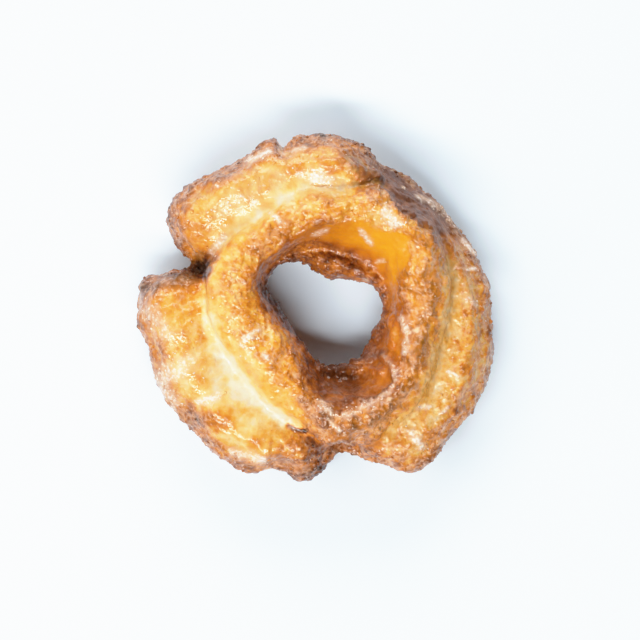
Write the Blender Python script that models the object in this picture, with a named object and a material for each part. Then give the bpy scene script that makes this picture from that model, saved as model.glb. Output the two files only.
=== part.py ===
"""An old-fashioned cake doughnut: one solid of fried dough, with a raised ring and cracked petals round it.

The form is a torus whose sections are bent onto fourteen rails. A rail is a closed line round the doughnut,
such as the rim, the bottom of the crack or the crest of the ring. Its radius and its height are set at a few
clock angles and run smoothly between them. Clock angles are degrees anticlockwise from +X, seen from above.
Radii are taken from the axis of the hole. Rail sizes are millimetres, and Blender is given metres.
"""

import math

import bpy
import numpy as np
from mathutils import Matrix, Vector, noise

MM = 0.001

WIDTH = 92.0  # the whole doughnut along X, across its widest line
DEPTH = 89.4  # along Y
HEIGHT = 28.5  # to the highest place on the ring's crest

COLUMNS = 124  # sections round the doughnut
CROWDING = 1.6  # how much closer the sections stand at a notch than elsewhere
CROWDING_STEPS = 1440  # clock angles at which the crowding is worked out
CROWDING_SPREAD = 6.0  # degrees on either side of a notch over which it eases off

NODE = "doughnut"

# Rim of the petals, seen from above. Each petal is a run of reaches, and the notches lie between petals.
RIGHT_PETAL = {297: 46.8, 303: 48.6, 311: 46.5, 322: 46.2, 332: 46.0, 350: 44.9, 5: 43.6, 30: 41.7,
               66: 41.3}
TOP_PETAL = {72: 42.8, 79: 45.0, 88: 45.9, 100.5: 44.4}
LEFT_PETAL = {105.5: 46.4, 120: 45.0, 132: 46.9, 145: 48.4, 149: 47.5}
LOWER_PETAL = {169.5: 46.9, 176: 47.9, 195: 46.2, 209: 46.9, 220: 45.2, 231: 46.2, 246: 45.4, 262: 44.0,
               266: 43.4}
NOTCH_FLOORS = {155: 41.3, 159.5: 36.4, 164: 39.4, 272: 38.6, 276: 36.2, 281: 36.6, 286: 40.0, 291: 42.2}
NICKS = {103: 42.6, 254.5: 42.0}  # short tears in a petal's edge
RIM_REACH = {**RIGHT_PETAL, **TOP_PETAL, **LEFT_PETAL, **LOWER_PETAL, **NOTCH_FLOORS, **NICKS}
RIM_HEIGHT = {0: 9.0, 50: 7.5, 85: 12.0, 140: 12.0, 160: 8.0, 180: 11.0, 235: 11.0, 277: 8.0, 303: 11.0}

# Crown of the petals, where they are thickest, and how far down it drops at the notches.
CROWN_REACH = {0: 38.4, 30: 37.4, 60: 37.4, 74: 38.0, 90: 38.4, 112: 38.6, 138: 39.4, 150: 39.0,
               159.5: 34.6, 168: 38.4, 180: 38.4, 215: 37.6, 245: 37.4, 262: 37.4, 270: 36.4, 278: 35.4,
               286: 37.6, 292: 38.6, 303: 40.4, 320: 39.4, 340: 39.0}
CROWN_HEIGHT = {0: 18.0, 22: 17.0, 38: 15.6, 60: 15.6, 68: 17.4, 76: 21.4, 88: 23.6, 103: 22.0, 125: 23.8,
                143: 22.2, 151: 19.0, 156: 13.0, 159.5: 7.6, 163: 9.6, 168.5: 18.4, 180: 20.6, 210: 20.2,
                238: 20.6, 256: 18.8, 263: 18.4, 269: 13.4, 277: 8.5, 284: 10.4, 291: 15.0, 300: 18.4,
                330: 19.0}

# Crack between the petals and the ring. The brow is the ring's outer edge, which stands over the crack.
BROW_REACH = {0: 30.4, 14: 31.6, 28: 32.8, 38: 34.0, 47: 32.8, 55: 32.0, 65: 33.8, 71: 32.2, 82: 30.2,
              104: 29.4, 118: 28.0, 138: 28.8, 152: 30.4, 162: 31.0, 172: 29.4, 188: 27.2, 206: 25.6,
              224: 25.6, 242: 26.4, 256: 28.2, 264: 30.2, 271: 32.6, 279: 34.4, 290: 34.4, 303: 32.8,
              318: 32.0, 334: 30.0, 350: 29.2}
BROW_HEIGHT = {0: 23.0, 28: 24.8, 45: 26.4, 62: 26.2, 76: 25.2, 100: 24.8, 130: 24.2, 160: 23.6, 185: 22.6,
               215: 22.2, 245: 22.6, 262: 22.6, 280: 21.6, 300: 22.6, 330: 22.4}
CRACK_HEIGHT = {0: 17.8, 28: 18.2, 42: 19.6, 60: 19.6, 69: 19.4, 79: 20.6, 104: 21.7, 132: 21.0, 149: 18.8,
                159.5: 11.5, 167: 17.0, 180: 18.8, 212: 18.6, 244: 19.0, 260: 18.2, 268: 16.0, 277: 12.4,
                285: 13.8, 294: 17.0, 312: 18.6, 338: 18.2}
CRACK_WIDTH = {0: 2.2, 45: 2.2, 66: 1.8, 84: 2.4, 104: 2.6, 120: 2.0, 162: 1.2, 185: 1.8, 240: 1.8,
               276: 0.8, 300: 2.0}

# Ring round the hole: its crest, and the edge where its inner slope starts.
CREST_REACH = {0: 26.4, 30: 29.4, 46: 30.8, 66: 29.8, 84: 26.8, 104: 25.8, 124: 24.4, 150: 25.0, 170: 23.0,
               190: 20.2, 215: 18.4, 240: 19.6, 257: 23.0, 271: 27.6, 290: 30.0, 310: 29.2, 335: 26.8}
CREST_HEIGHT = {0: 25.8, 45: 28.2, 85: 27.8, 130: 27.0, 165: 26.8, 200: 25.8, 235: 25.6, 265: 26.2,
                292: 26.8, 330: 26.0}
SLOPE_REACH = {0: 21.4, 22: 23.2, 33: 26.2, 43: 28.4, 56: 26.6, 66: 25.4, 84: 22.8, 101: 22.0, 114: 20.4,
               132: 20.0, 155: 20.0, 172: 17.4, 190: 14.8, 215: 13.6, 238: 14.6, 254: 17.8, 268: 22.4,
               282: 25.4, 310: 25.8, 330: 23.6, 346: 21.8}
SLOPE_HEIGHT = {0: 23.8, 45: 26.8, 85: 26.2, 130: 25.0, 165: 24.8, 200: 24.0, 235: 23.8, 265: 24.2,
                292: 25.0, 330: 24.0}

# Inside of the ring: the smooth groove, the lip under it, and the throat, where the hole is narrowest.
GROOVE_REACH = {0: 18.8, 28: 20.8, 44: 22.4, 60: 21.0, 76: 19.6, 98: 19.2, 118: 18.6, 138: 18.9, 158: 18.0,
                174: 14.8, 195: 12.4, 215: 11.6, 238: 12.6, 256: 15.2, 272: 19.2, 292: 21.4, 312: 21.4,
                336: 19.8}
GROOVE_HEIGHT = {0: 18.6, 50: 20.6, 90: 20.4, 130: 20.6, 165: 21.0, 200: 21.4, 235: 20.8, 265: 18.0,
                 292: 15.4, 312: 17.4, 330: 18.4}
CREASE_REACH = {0: 17.0, 28: 17.4, 50: 16.8, 76: 15.4, 98: 15.9, 118: 17.0, 140: 17.9, 160: 16.6, 174: 13.4,
                195: 11.2, 215: 10.4, 238: 11.4, 256: 13.9, 272: 17.0, 292: 18.6, 312: 18.2, 336: 17.2}
CREASE_HEIGHT = {0: 13.2, 50: 13.8, 85: 14.2, 120: 15.2, 165: 17.4, 200: 18.0, 235: 17.4, 265: 13.2,
                 292: 10.6, 330: 13.0}
LIP_REACH = {0: 15.9, 26: 16.0, 46: 14.0, 76: 12.6, 98: 13.4, 118: 15.7, 140: 17.2, 160: 15.8, 174: 12.5,
             195: 10.2, 215: 9.5, 238: 10.5, 256: 12.7, 272: 14.9, 292: 16.3, 312: 16.2, 336: 15.4}
LIP_HEIGHT = {0: 12.4, 28: 14.2, 50: 16.4, 80: 17.0, 110: 16.0, 140: 14.6, 200: 15.0, 235: 14.4, 265: 12.0,
              292: 11.0, 330: 11.4}
THROAT_REACH = {0: 14.8, 12: 15.5, 30: 14.6, 42: 12.2, 56: 10.1, 78: 9.0, 98: 10.1, 112: 13.2, 128: 16.2,
                140: 16.8, 158: 15.3, 170: 12.1, 190: 9.8, 214: 9.0, 238: 10.0, 256: 11.9, 272: 13.3,
                300: 14.7, 311: 14.8, 322: 13.9, 340: 14.2}
THROAT_HEIGHT = {0: 8.6, 75: 10.4, 140: 9.6, 210: 10.4, 290: 7.6}

# Underside, which rests on the flat band between the two feet.
SHOULDER_INSET = 3.0  # from the rim to the shoulder above it
SHOULDER_RISE = 0.62  # of the way up from the rim to the crown
SKIRT_INSET = 2.4  # from the rim to the skirt below it
SKIRT_RISE = 0.40  # of the rim's height
OUTER_FOOT_INSET = 9.0  # from the rim to the outer foot
INNER_FOOT_INSET = 5.6  # from the throat to the inner foot
LEAST_GAP = 1.2  # between neighbouring rails on top of a petal

# Rows of faces from each rail to the next, starting at the rim, and how craggy the crust is on the rail.
RAIL_ROWS = {"rim": 3, "shoulder": 3, "crown": 4, "crack": 3, "brow": 3, "crest": 3, "slope": 4,
             "groove": 3, "crease": 2, "lip": 3, "throat": 5, "inner foot": 4, "outer foot": 4, "skirt": 3}
RAIL_CRAGS = {"rim": 1.1, "shoulder": 1.1, "crown": 0.7, "crack": 0.3, "brow": 1.1, "crest": 1.0,
              "slope": 0.8, "groove": 0.15, "crease": 0.4, "lip": 1.1, "throat": 0.8, "inner foot": 0.0,
              "outer foot": 0.0, "skirt": 0.9}
ROWS = sum(RAIL_ROWS.values())

# Crags of the fried crust: broad lumps, each with lumps half as wide on it, and rounded nodules.
LUMP_SIZE, LUMP_HEIGHT = 7.0, 1.3
LUMP_FINENESS, LUMP_SHRINK, LUMP_LAYERS = 1.0, 2.0, 2
NODULE_SIZE, NODULE_HEIGHT = 4.0, 1.6
NODULE_FOOT = 0.45  # how far from a nodule's middle it sinks to the crust, as a share of its size
NOISE_ORIGIN = Vector((31.7, 12.9, 7.3))  # picks this doughnut's crags out of the endless noise

CRUST_COLOUR = (0.58, 0.27, 0.07, 1.0)
CRUST_ROUGHNESS = 0.45


def clear_scene():
    for found in list(bpy.data.objects):
        bpy.data.objects.remove(found)


def around(keys, angles):
    """Values at the clock angles, on a smooth closed curve through the keys that never overshoots them."""
    at = np.array(sorted(keys), float)
    value = np.array([keys[key] for key in sorted(keys)], float)
    at = np.concatenate([at[-2:] - 360, at, at[:2] + 360])
    value = np.concatenate([value[-2:], value, value[:2]])
    width = np.diff(at)
    rise = np.diff(value) / width
    before, after = rise[:-1], rise[1:]
    weight = (width[:-1] + 2 * width[1:]) / (3 * (width[:-1] + width[1:]))
    same_way = before * after > 0
    blend = np.where(same_way, weight * after + (1 - weight) * before, 1.0)
    slope = np.where(same_way, before * after / blend, 0.0)
    slope = np.concatenate([[0.0], slope, [0.0]])
    angles = np.asarray(angles, float) % 360
    left = np.clip(np.searchsorted(at, angles, side="right") - 1, 0, len(width) - 1)
    step = width[left]
    part = (angles - at[left]) / step
    start = (1 + 2 * part) * (1 - part) ** 2 * value[left] + part * (1 - part) ** 2 * step * slope[left]
    end = part**2 * (3 - 2 * part) * value[left + 1] - part**2 * (1 - part) * step * slope[left + 1]
    return start + end


def column_angles():
    """Clock angles of the sections, which stand closer where the rim's reach changes fast."""
    fine = np.linspace(0, 360, CROWDING_STEPS, endpoint=False)
    reach = around(RIM_REACH, fine)
    steepness = np.abs(np.roll(reach, -1) - np.roll(reach, 1))
    ends = round(CROWDING_SPREAD * CROWDING_STEPS / 360)
    spread = np.exp(-0.5 * np.linspace(-3, 3, 2 * ends + 1) ** 2)
    steepness = np.convolve(np.concatenate([steepness[-ends:], steepness, steepness[:ends]]), spread, "valid")
    density = 1 + CROWDING * steepness / steepness.max()
    share = np.concatenate([[0.0], np.cumsum(density)]) / density.sum()
    return np.interp(np.arange(COLUMNS) / COLUMNS, share, np.append(fine, 360.0))


def rails(angles):
    """Radius and height of every rail at the clock angles: an array of rail, angle, and (radius, height)."""
    rim, rim_height = around(RIM_REACH, angles), around(RIM_HEIGHT, angles)
    crown_height = around(CROWN_HEIGHT, angles)
    brow, throat = around(BROW_REACH, angles), around(THROAT_REACH, angles)
    shoulder = rim - SHOULDER_INSET
    crown = np.minimum(around(CROWN_REACH, angles), shoulder - LEAST_GAP / 2)
    crack = np.minimum(brow + around(CRACK_WIDTH, angles), crown - LEAST_GAP / 2)
    zero = np.zeros_like(rim)
    lines = {
        "rim": (rim, rim_height),
        "shoulder": (shoulder, rim_height + SHOULDER_RISE * (crown_height - rim_height)),
        "crown": (crown, crown_height),
        "crack": (crack, around(CRACK_HEIGHT, angles)),
        "brow": (brow, around(BROW_HEIGHT, angles)),
        "crest": (around(CREST_REACH, angles), around(CREST_HEIGHT, angles)),
        "slope": (around(SLOPE_REACH, angles), around(SLOPE_HEIGHT, angles)),
        "groove": (around(GROOVE_REACH, angles), around(GROOVE_HEIGHT, angles)),
        "crease": (around(CREASE_REACH, angles), around(CREASE_HEIGHT, angles)),
        "lip": (around(LIP_REACH, angles), around(LIP_HEIGHT, angles)),
        "throat": (throat, around(THROAT_HEIGHT, angles)),
        "inner foot": (throat + INNER_FOOT_INSET, zero),
        "outer foot": (rim - OUTER_FOOT_INSET, zero),
        "skirt": (rim - SKIRT_INSET, SKIRT_RISE * rim_height),
    }
    return np.array([np.stack(lines[name], axis=-1) for name in RAIL_ROWS])


def sections(lines):
    """A curve through the rails, rim first: the rows of vertices along it, and how craggy each row is."""
    names = list(RAIL_ROWS)
    forward = np.roll(lines, -1, axis=0) - lines
    length = np.linalg.norm(forward, axis=2, keepdims=True)
    tangent = (forward + np.roll(forward, 1, axis=0)) / (length + np.roll(length, 1, axis=0))
    rows, crags = [], []
    for k, name in enumerate(names):
        after = (k + 1) % len(names)
        for step in range(RAIL_ROWS[name]):
            t = step / RAIL_ROWS[name]
            point = (1 - t) * lines[k] + t * lines[after]
            if name != "inner foot":
                point = (
                    (1 + 2 * t) * (1 - t) ** 2 * lines[k]
                    + t * (1 - t) ** 2 * length[k] * tangent[k]
                    + t**2 * (3 - 2 * t) * lines[after]
                    - t**2 * (1 - t) * length[k] * tangent[after]
                )
            rows.append(point)
            crags.append((1 - t) * RAIL_CRAGS[name] + t * RAIL_CRAGS[names[after]])
    return np.array(rows), crags


def crag_height(place):
    """Relief of the fried crust at a place, in mm: broad lumps with rounded nodules on them."""
    lump = noise.fractal(place / LUMP_SIZE + NOISE_ORIGIN, LUMP_FINENESS, LUMP_SHRINK, LUMP_LAYERS)
    nearest = noise.voronoi(place / NODULE_SIZE + NOISE_ORIGIN)[0][0]
    return LUMP_HEIGHT * lump + NODULE_HEIGHT * (NODULE_FOOT - nearest)


def make_doughnut(collection):
    """A torus bent onto the sections, then roughened along its normals everywhere but on its flat foot."""
    bpy.ops.mesh.primitive_torus_add(major_segments=COLUMNS, minor_segments=ROWS)
    doughnut = bpy.context.object
    doughnut.name = NODE
    doughnut.data.name = NODE
    for other in list(doughnut.users_collection):
        other.objects.unlink(doughnut)
    collection.objects.link(doughnut)
    angles = column_angles()
    rows, crags = sections(rails(angles))
    vertices = doughnut.data.vertices
    for vertex in vertices:
        column, row = divmod(vertex.index, ROWS)
        radius, height = rows[row][column]
        turn = math.radians(angles[column])
        vertex.co = (radius * math.cos(turn), radius * math.sin(turn), height)
    doughnut.data.update()
    normals = [vertex.normal.copy() for vertex in vertices]
    for vertex, normal in zip(vertices, normals):
        crag = crags[vertex.index % ROWS]
        if crag > 0:
            vertex.co += normal * crag * crag_height(vertex.co)
            vertex.co.z = max(vertex.co.z, 0.0)
    doughnut.data.shade_smooth()
    return doughnut


def fit_to_size(doughnut):
    """Scales the doughnut to its width, depth and height, and puts its origin under the middle of its box."""
    low = Vector(map(min, zip(*(vertex.co for vertex in doughnut.data.vertices))))
    high = Vector(map(max, zip(*(vertex.co for vertex in doughnut.data.vertices))))
    size = high - low
    middle = Vector(((low.x + high.x) / 2, (low.y + high.y) / 2, low.z))
    scale = Matrix.Diagonal((WIDTH * MM / size.x, DEPTH * MM / size.y, HEIGHT * MM / size.z, 1.0))
    doughnut.data.transform(scale @ Matrix.Translation(-middle))


def crust_material():
    material = bpy.data.materials.new("fried crust")
    material.use_nodes = True
    shader = material.node_tree.nodes["Principled BSDF"]
    shader.inputs["Base Color"].default_value = CRUST_COLOUR
    shader.inputs["Roughness"].default_value = CRUST_ROUGHNESS
    shader.inputs["Metallic"].default_value = 0.0
    return material


def main():
    clear_scene()
    collection = bpy.data.collections.new("old-fashioned doughnut")
    bpy.context.scene.collection.children.link(collection)
    doughnut = make_doughnut(collection)
    fit_to_size(doughnut)
    doughnut.data.materials.append(crust_material())


main()
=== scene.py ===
"""The looks of an old-fashioned doughnut: fried crust, torn crumb, sugar glaze, and the ground under it.

Run as a script, it registers its operators and its panel, runs the operators in order and leaves the
finished doughnut in the scene. Clock angles are degrees anticlockwise from +X, seen from above, round the
axis of the hole. Reach is the distance from that axis. Tables are in millimetres, and settings in metres.
"""

import math

import bmesh
import bpy
import numpy as np
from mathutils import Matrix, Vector, noise


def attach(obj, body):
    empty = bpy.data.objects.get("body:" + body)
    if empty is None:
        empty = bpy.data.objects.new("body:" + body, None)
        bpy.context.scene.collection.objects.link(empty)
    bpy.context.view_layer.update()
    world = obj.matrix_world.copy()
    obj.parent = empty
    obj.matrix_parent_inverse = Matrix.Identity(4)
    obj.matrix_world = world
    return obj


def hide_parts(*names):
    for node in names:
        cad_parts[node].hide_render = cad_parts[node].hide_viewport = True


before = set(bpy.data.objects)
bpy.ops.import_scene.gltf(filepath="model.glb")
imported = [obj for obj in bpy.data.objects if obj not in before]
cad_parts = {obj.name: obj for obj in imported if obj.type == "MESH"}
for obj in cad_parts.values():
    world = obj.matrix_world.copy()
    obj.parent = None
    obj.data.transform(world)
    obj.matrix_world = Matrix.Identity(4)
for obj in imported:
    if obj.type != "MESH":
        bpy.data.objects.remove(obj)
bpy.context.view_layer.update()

bl_info = {
    "name": "Old-Fashioned Doughnut Looks",
    "version": (1, 0, 0),
    "blender": (4, 5, 0),
    "location": "View3D > Sidebar > Doughnut",
    "description": "Finishes a plain doughnut solid with fried crust, torn crumb and sugar glaze",
    "category": "Object",
}

NODE, BODY, SLOT = "doughnut", "root", "crust"
MM = 0.001
AXIS_X, AXIS_Y = 2.0, -1.0  # where the axis of the hole stands in the frame, mm

# Zones from the hole outwards, as the reach in mm where each one ends, at clock angles.
LIP_EDGE = {0: 16.6, 22: 17.2, 42: 17.0, 63: 15.8, 78: 16.4, 96: 17.4, 118: 17.6, 140: 17.4, 160: 15.6,
            174: 12.6, 195: 10.0, 215: 8.9, 238: 9.8, 256: 13.0, 272: 16.0, 292: 17.4, 312: 17.0, 336: 16.2}
SLOPE_EDGE = {0: 20.4, 12: 20.0, 24: 21.4, 34: 26.4, 44: 28.4, 56: 25.2, 66: 25.2, 84: 22.4, 101: 21.6,
              114: 20.2, 132: 19.6, 155: 19.4, 172: 16.6, 190: 12.6, 215: 10.6, 238: 11.6, 254: 16.6,
              268: 22.4, 282: 25.2, 310: 25.6, 330: 23.2, 346: 21.6}
SHOULDER_EDGE = {0: 28.6, 30: 31.0, 50: 32.2, 64: 33.0, 76: 29.4, 90: 26.6, 110: 25.0, 130: 25.4, 150: 27.4,
                 170: 26.0, 190: 23.4, 206: 21.0, 225: 20.6, 244: 22.0, 258: 25.4, 270: 31.4, 290: 33.2,
                 306: 30.8, 340: 28.4}
BROW_EDGE = {0: 30.1, 14: 31.3, 28: 32.5, 38: 33.7, 47: 32.5, 55: 31.7, 65: 33.5, 71: 31.9, 82: 29.9,
             104: 29.1, 118: 27.7, 138: 28.5, 152: 30.1, 162: 30.7, 172: 29.1, 188: 26.9, 206: 25.3,
             224: 25.3, 242: 26.1, 256: 27.9, 264: 29.9, 271: 32.3, 279: 34.1, 290: 34.1, 303: 32.5,
             318: 31.7, 334: 29.7, 350: 28.9}
CRACK_WIDTH = {0: 2.2, 45: 2.2, 66: 1.8, 84: 2.4, 104: 2.6, 120: 2.0, 162: 1.2, 185: 1.8, 240: 1.8, 276: 0.8,
               300: 2.0}
PALE_WIDTH = {0: 3.0, 45: 1.0, 70: 1.5, 90: 4.0, 120: 5.0, 150: 2.0, 175: 2.0, 210: 3.0, 250: 2.6, 268: 1.0,
              320: 4.0}
RIM_WIDTH = {0: 7.0, 28: 3.0, 45: 1.1, 62: 1.2, 80: 6.0, 120: 6.5, 145: 7.0, 170: 7.0, 200: 8.0, 226: 8.0,
             244: 6.4, 262: 7.0}

# How far before and past its inner edge a zone begins to show, and is all that shows.
BLENDS = {"groove": (-0.2, 1.6), "ring": (-1.0, 0.8), "shoulder": (-2.0, 1.6), "crack": (-0.9, 0.9)}
EDGES_WANDER, EDGE_WAVES = 1.2, 4.0  # how far the zones' edges wander, and in waves of what length
RIM_ENDS = 0.8  # the rim's crust is all that shows from this far inside the outline on
UNDERSIDE_TOP = 2.0, 6.0  # heights between which the underside's crust gives way to the rest

# What each zone is like: a number, or a number at each of a few clock angles.
BROWNING_AND_SHADE = {  # 0 is pale crumb and 1 is nearly burnt; part of the darkness in the hole, on the steep upper right side and at the torn ends is painted shade
    "inside": {0: 0.8, 40: 0.76, 100: 0.7, 130: 0.84, 165: 1.0, 200: 1.0, 240: 0.94, 290: 0.9, 315: 0.78,
               340: 0.82},
    "groove": {0: 0.7, 20: 0.6, 60: 0.56, 110: 0.66, 140: 0.74, 180: 0.7, 215: 0.54, 235: 0.6, 255: 0.76,
               290: 0.84, 320: 0.74},
    "ring": {0: 0.71, 30: 0.6, 60: 0.48, 90: 0.46, 130: 0.48, 180: 0.43, 215: 0.47, 240: 0.56, 270: 0.68,
             300: 0.76, 330: 0.77},
    "shoulder": {0: 0.56, 45: 0.54, 75: 0.44, 90: 0.38, 120: 0.34, 150: 0.34, 180: 0.3, 215: 0.28, 245: 0.3,
                 262: 0.54, 300: 0.58, 335: 0.58},
    "crack": {0: 0.34, 28: 0.5, 42: 0.66, 62: 0.66, 70: 0.44, 78: 0.3, 90: 0.26, 110: 0.22, 130: 0.24,
              148: 0.36, 159: 1.0, 170: 0.4, 188: 0.14, 210: 0.06, 245: 0.06, 258: 0.24, 267: 0.66, 277: 0.88,
              290: 0.56, 305: 0.34},
    "petal": {0: 0.38, 20: 0.48, 36: 0.72, 60: 0.8, 70: 0.64, 78: 0.5, 92: 0.44, 110: 0.37, 128: 0.33,
              144: 0.38, 152: 0.56, 163: 0.88, 172: 0.46, 188: 0.34, 205: 0.23, 235: 0.2, 248: 0.27,
              258: 0.54, 266: 0.82, 284: 0.8, 298: 0.48, 312: 0.32, 335: 0.34},
    "rim": {0: 0.54, 45: 0.72, 80: 0.7, 110: 0.7, 145: 0.72, 170: 0.72, 200: 0.66, 235: 0.7, 250: 0.74,
            268: 0.8, 300: 0.64},
    "underside": 0.6,
}
CRAGGINESS = {  # 1 is fully craggy and 0 is smooth
    "inside": {0: 0.9, 90: 1.0, 200: 0.8, 290: 0.9},
    "groove": {0: 0.4, 60: 0.2, 110: 0.25, 150: 0.5, 200: 0.7, 250: 0.6, 290: 0.5, 330: 0.4},
    "ring": {0: 1.0, 90: 0.9, 180: 0.85, 215: 0.9, 300: 1.0},
    "shoulder": {0: 0.6, 30: 0.8, 60: 0.9, 90: 0.6, 130: 0.55, 180: 0.5, 215: 0.4, 245: 0.4, 265: 0.8,
                 300: 0.7},
    "crack": {0: 0.5, 32: 0.6, 45: 0.5, 70: 0.5, 90: 0.2, 140: 0.2, 160: 0.5, 200: 0.2, 250: 0.2, 270: 0.7,
              300: 0.6},
    "petal": {0: 0.75, 20: 0.75, 36: 0.5, 60: 0.5, 75: 0.6, 90: 0.5, 130: 0.4, 160: 0.6, 185: 0.6, 210: 0.3,
              240: 0.3, 262: 0.8, 300: 0.8},
    "rim": 1.0,
    "underside": 0.25,
}
AMBER = {  # how far clear glaze and oil have turned the crust deep gold
    "inside": {0: 0.2, 60: 0.25, 120: 0.1, 300: 0.3},
    "groove": {0: 0.7, 30: 1.0, 110: 1.0, 140: 0.6, 160: 0.1, 250: 0.1, 290: 0.4, 320: 0.7},
    "ring": {0: 0.3, 30: 0.35, 60: 0.3, 110: 0.2, 180: 0.25, 230: 0.25, 270: 0.1, 300: 0.2},
    "shoulder": {60: 0.2, 90: 0.25, 180: 0.35, 225: 0.4, 250: 0.45, 268: 0.2},
    "crack": {0: 0.15, 20: 0.1, 36: 0.0, 255: 0.0, 300: 0.1, 330: 0.15},
    "petal": {0: 0.0, 75: 0.0, 90: 0.2, 130: 0.15, 180: 0.3, 210: 0.1, 250: 0.12, 270: 0.0, 310: 0.1},
    "rim": 0.05,
    "underside": 0.0,
}
FILM_SHADE_AND_SHEEN = {  # milky film of set glaze over brown crust, which turns it lilac; on the steep upper right side and the torn end it is also painted shade and a painted lilac reflection of the sky
    "inside": 0.1,
    "groove": 0.0,
    "ring": {240: 0.0, 275: 0.1, 300: 0.1, 330: 0.0},
    "shoulder": 0.0,
    "crack": {0: 0.1, 26: 0.35, 36: 0.9, 60: 0.95, 68: 0.6, 76: 0.1, 150: 0.1, 160: 0.3, 172: 0.0, 260: 0.0,
              290: 0.15, 305: 0.1},
    "petal": {0: 0.1, 26: 0.4, 38: 0.9, 60: 0.95, 70: 0.6, 78: 0.1, 150: 0.1, 162: 0.4, 175: 0.1, 265: 0.1,
              290: 0.15, 305: 0.15},
    "rim": {0: 0.15, 42: 0.5, 60: 0.6, 80: 0.2, 105: 0.2, 130: 0.4, 150: 0.2, 175: 0.3, 215: 0.3, 245: 0.2,
            270: 0.1, 300: 0.1},
    "underside": 0.1,
}
GLAZE_LEVEL = {  # how high glaze stands, in mm, where 0 fills the crust's recesses about half way
    "inside": -0.5,
    "groove": -0.6,
    "ring": {0: -0.25, 90: -0.35, 180: -0.3, 215: -0.25, 240: -0.3, 270: -0.15, 300: -0.25},
    "shoulder": -0.5,
    "crack": -0.6,
    "petal": {0: -0.3, 30: -0.6, 60: -0.6, 90: -0.35, 130: -0.35, 180: -0.3, 245: -0.5, 300: -0.3},
    "rim": {0: -0.25, 45: -0.15, 90: -0.3, 130: -0.25, 180: -0.2, 215: -0.1, 240: -0.2, 262: -0.4,
            300: -0.25},
    "underside": -0.6,
}
LACE_AND_GLINTS = {  # how much milky glaze has set in the seams between nodules, and how thick the painted glints are that dot the nodules
    "inside": 0.1,
    "groove": {0: 0.1, 60: 0.0, 150: 0.2, 270: 0.1},
    "ring": {0: 0.38, 45: 0.45, 90: 0.4, 130: 0.45, 180: 0.5, 215: 0.7, 240: 0.5, 270: 0.75, 300: 0.6,
             330: 0.5},
    "shoulder": {0: 0.4, 90: 0.3, 250: 0.2, 270: 0.6, 300: 0.5},
    "crack": 0.0,
    "petal": {0: 0.55, 20: 0.5, 34: 0.05, 62: 0.05, 78: 0.3, 90: 0.3, 130: 0.25, 180: 0.5, 215: 0.35,
              245: 0.2, 262: 0.3, 300: 0.6},
    "rim": {0: 0.6, 45: 0.7, 90: 0.45, 140: 0.5, 215: 0.6, 262: 0.4, 300: 0.55},
    "underside": 0.1,
}
# How bright the upper part of the inner slope stays, where 0 is soaked dark.
SOAK_BRIGHT = {0: 0.2, 18: 0.4, 30: 0.9, 45: 1.0, 62: 0.85, 80: 0.5, 95: 0.3, 115: 0.15, 320: 0.1}
CRUMBLY = {  # how thickly crumbs stick to the crust
    "inside": 0.1,
    "groove": 0.0,
    "ring": 0.1,
    "shoulder": {0: 0.4, 45: 0.6, 80: 0.2, 120: 0.05, 250: 0.05, 275: 0.4},
    "crack": 0.0,
    "petal": {0: 0.1, 150: 0.1, 160: 0.6, 172: 0.1, 250: 0.1, 270: 0.5, 295: 0.2},
    "rim": {0: 0.35, 80: 0.4, 110: 0.15, 200: 0.2, 230: 0.25, 262: 0.45, 300: 0.4},
    "underside": 0.0,
}
# How ragged the brow's edge tore, and how far the crack beside it closed up in the oil.
TORN = {0: 0.2, 20: 0.5, 45: 0.8, 66: 0.6, 74: 0.4, 84: 0.0, 256: 0.0, 266: 0.6, 292: 0.6, 304: 0.0}
SOFTENED = {26: 1.0, 40: 0.3, 62: 0.2, 70: 1.0, 90: 0.8, 110: 0.4, 135: 0.0, 185: 0.4, 240: 0.0, 276: 0.0,
            290: 0.8, 310: 1.0}
RAGGED, CLOSED = ((-1.6, -0.2), (0.6, 1.6)), ((-2.4, -0.4), (0.6, 2.8))  # where each fades in and out
TOOTH_ANGLE, TOOTH_SPREAD, TOOTH_LENGTH = 66.0, 1.8, 1.2  # the longest tooth: degrees, degrees and mm

# Lines on top of the doughnut, seen from above, that more than one kind of stroke follows, mm.
TORN_END = ((-43.1, 4.6), (-35.5, 7.4), (-28.3, 9.7))
NOTCH_SIDE = ((-26.1, 14.3), (-23.5, 17.8))
TOP_NOTCH = ((-8.9, 42.0), (-8.4, 38.6))
SPUR = ((19.1, -2.6), (20.1, -5.9), (19.6, -9.7))
LIP_FOLD = ((9.7, -16.9), (12.7, -15.3), (16.5, -16.3))
UPPER_CURL = ((1.0, -11.2), (5.6, -13.5), (10.7, -13.5))
LOWER_CURL = ((0.5, -13.4), (5.6, -15.6), (11.7, -15.0))
RING_FOLD = ((17.6, -12.5), (19.9, -14.8), (20.4, -18.4), (18.8, -21.4), (15.5, -23.5))
PETAL_BACK = ((33.6, 6.9), (33.2, -1.0), (31.6, -6.2), (29.8, -14.5), (26.4, -23.0), (20.4, -29.3))

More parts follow.
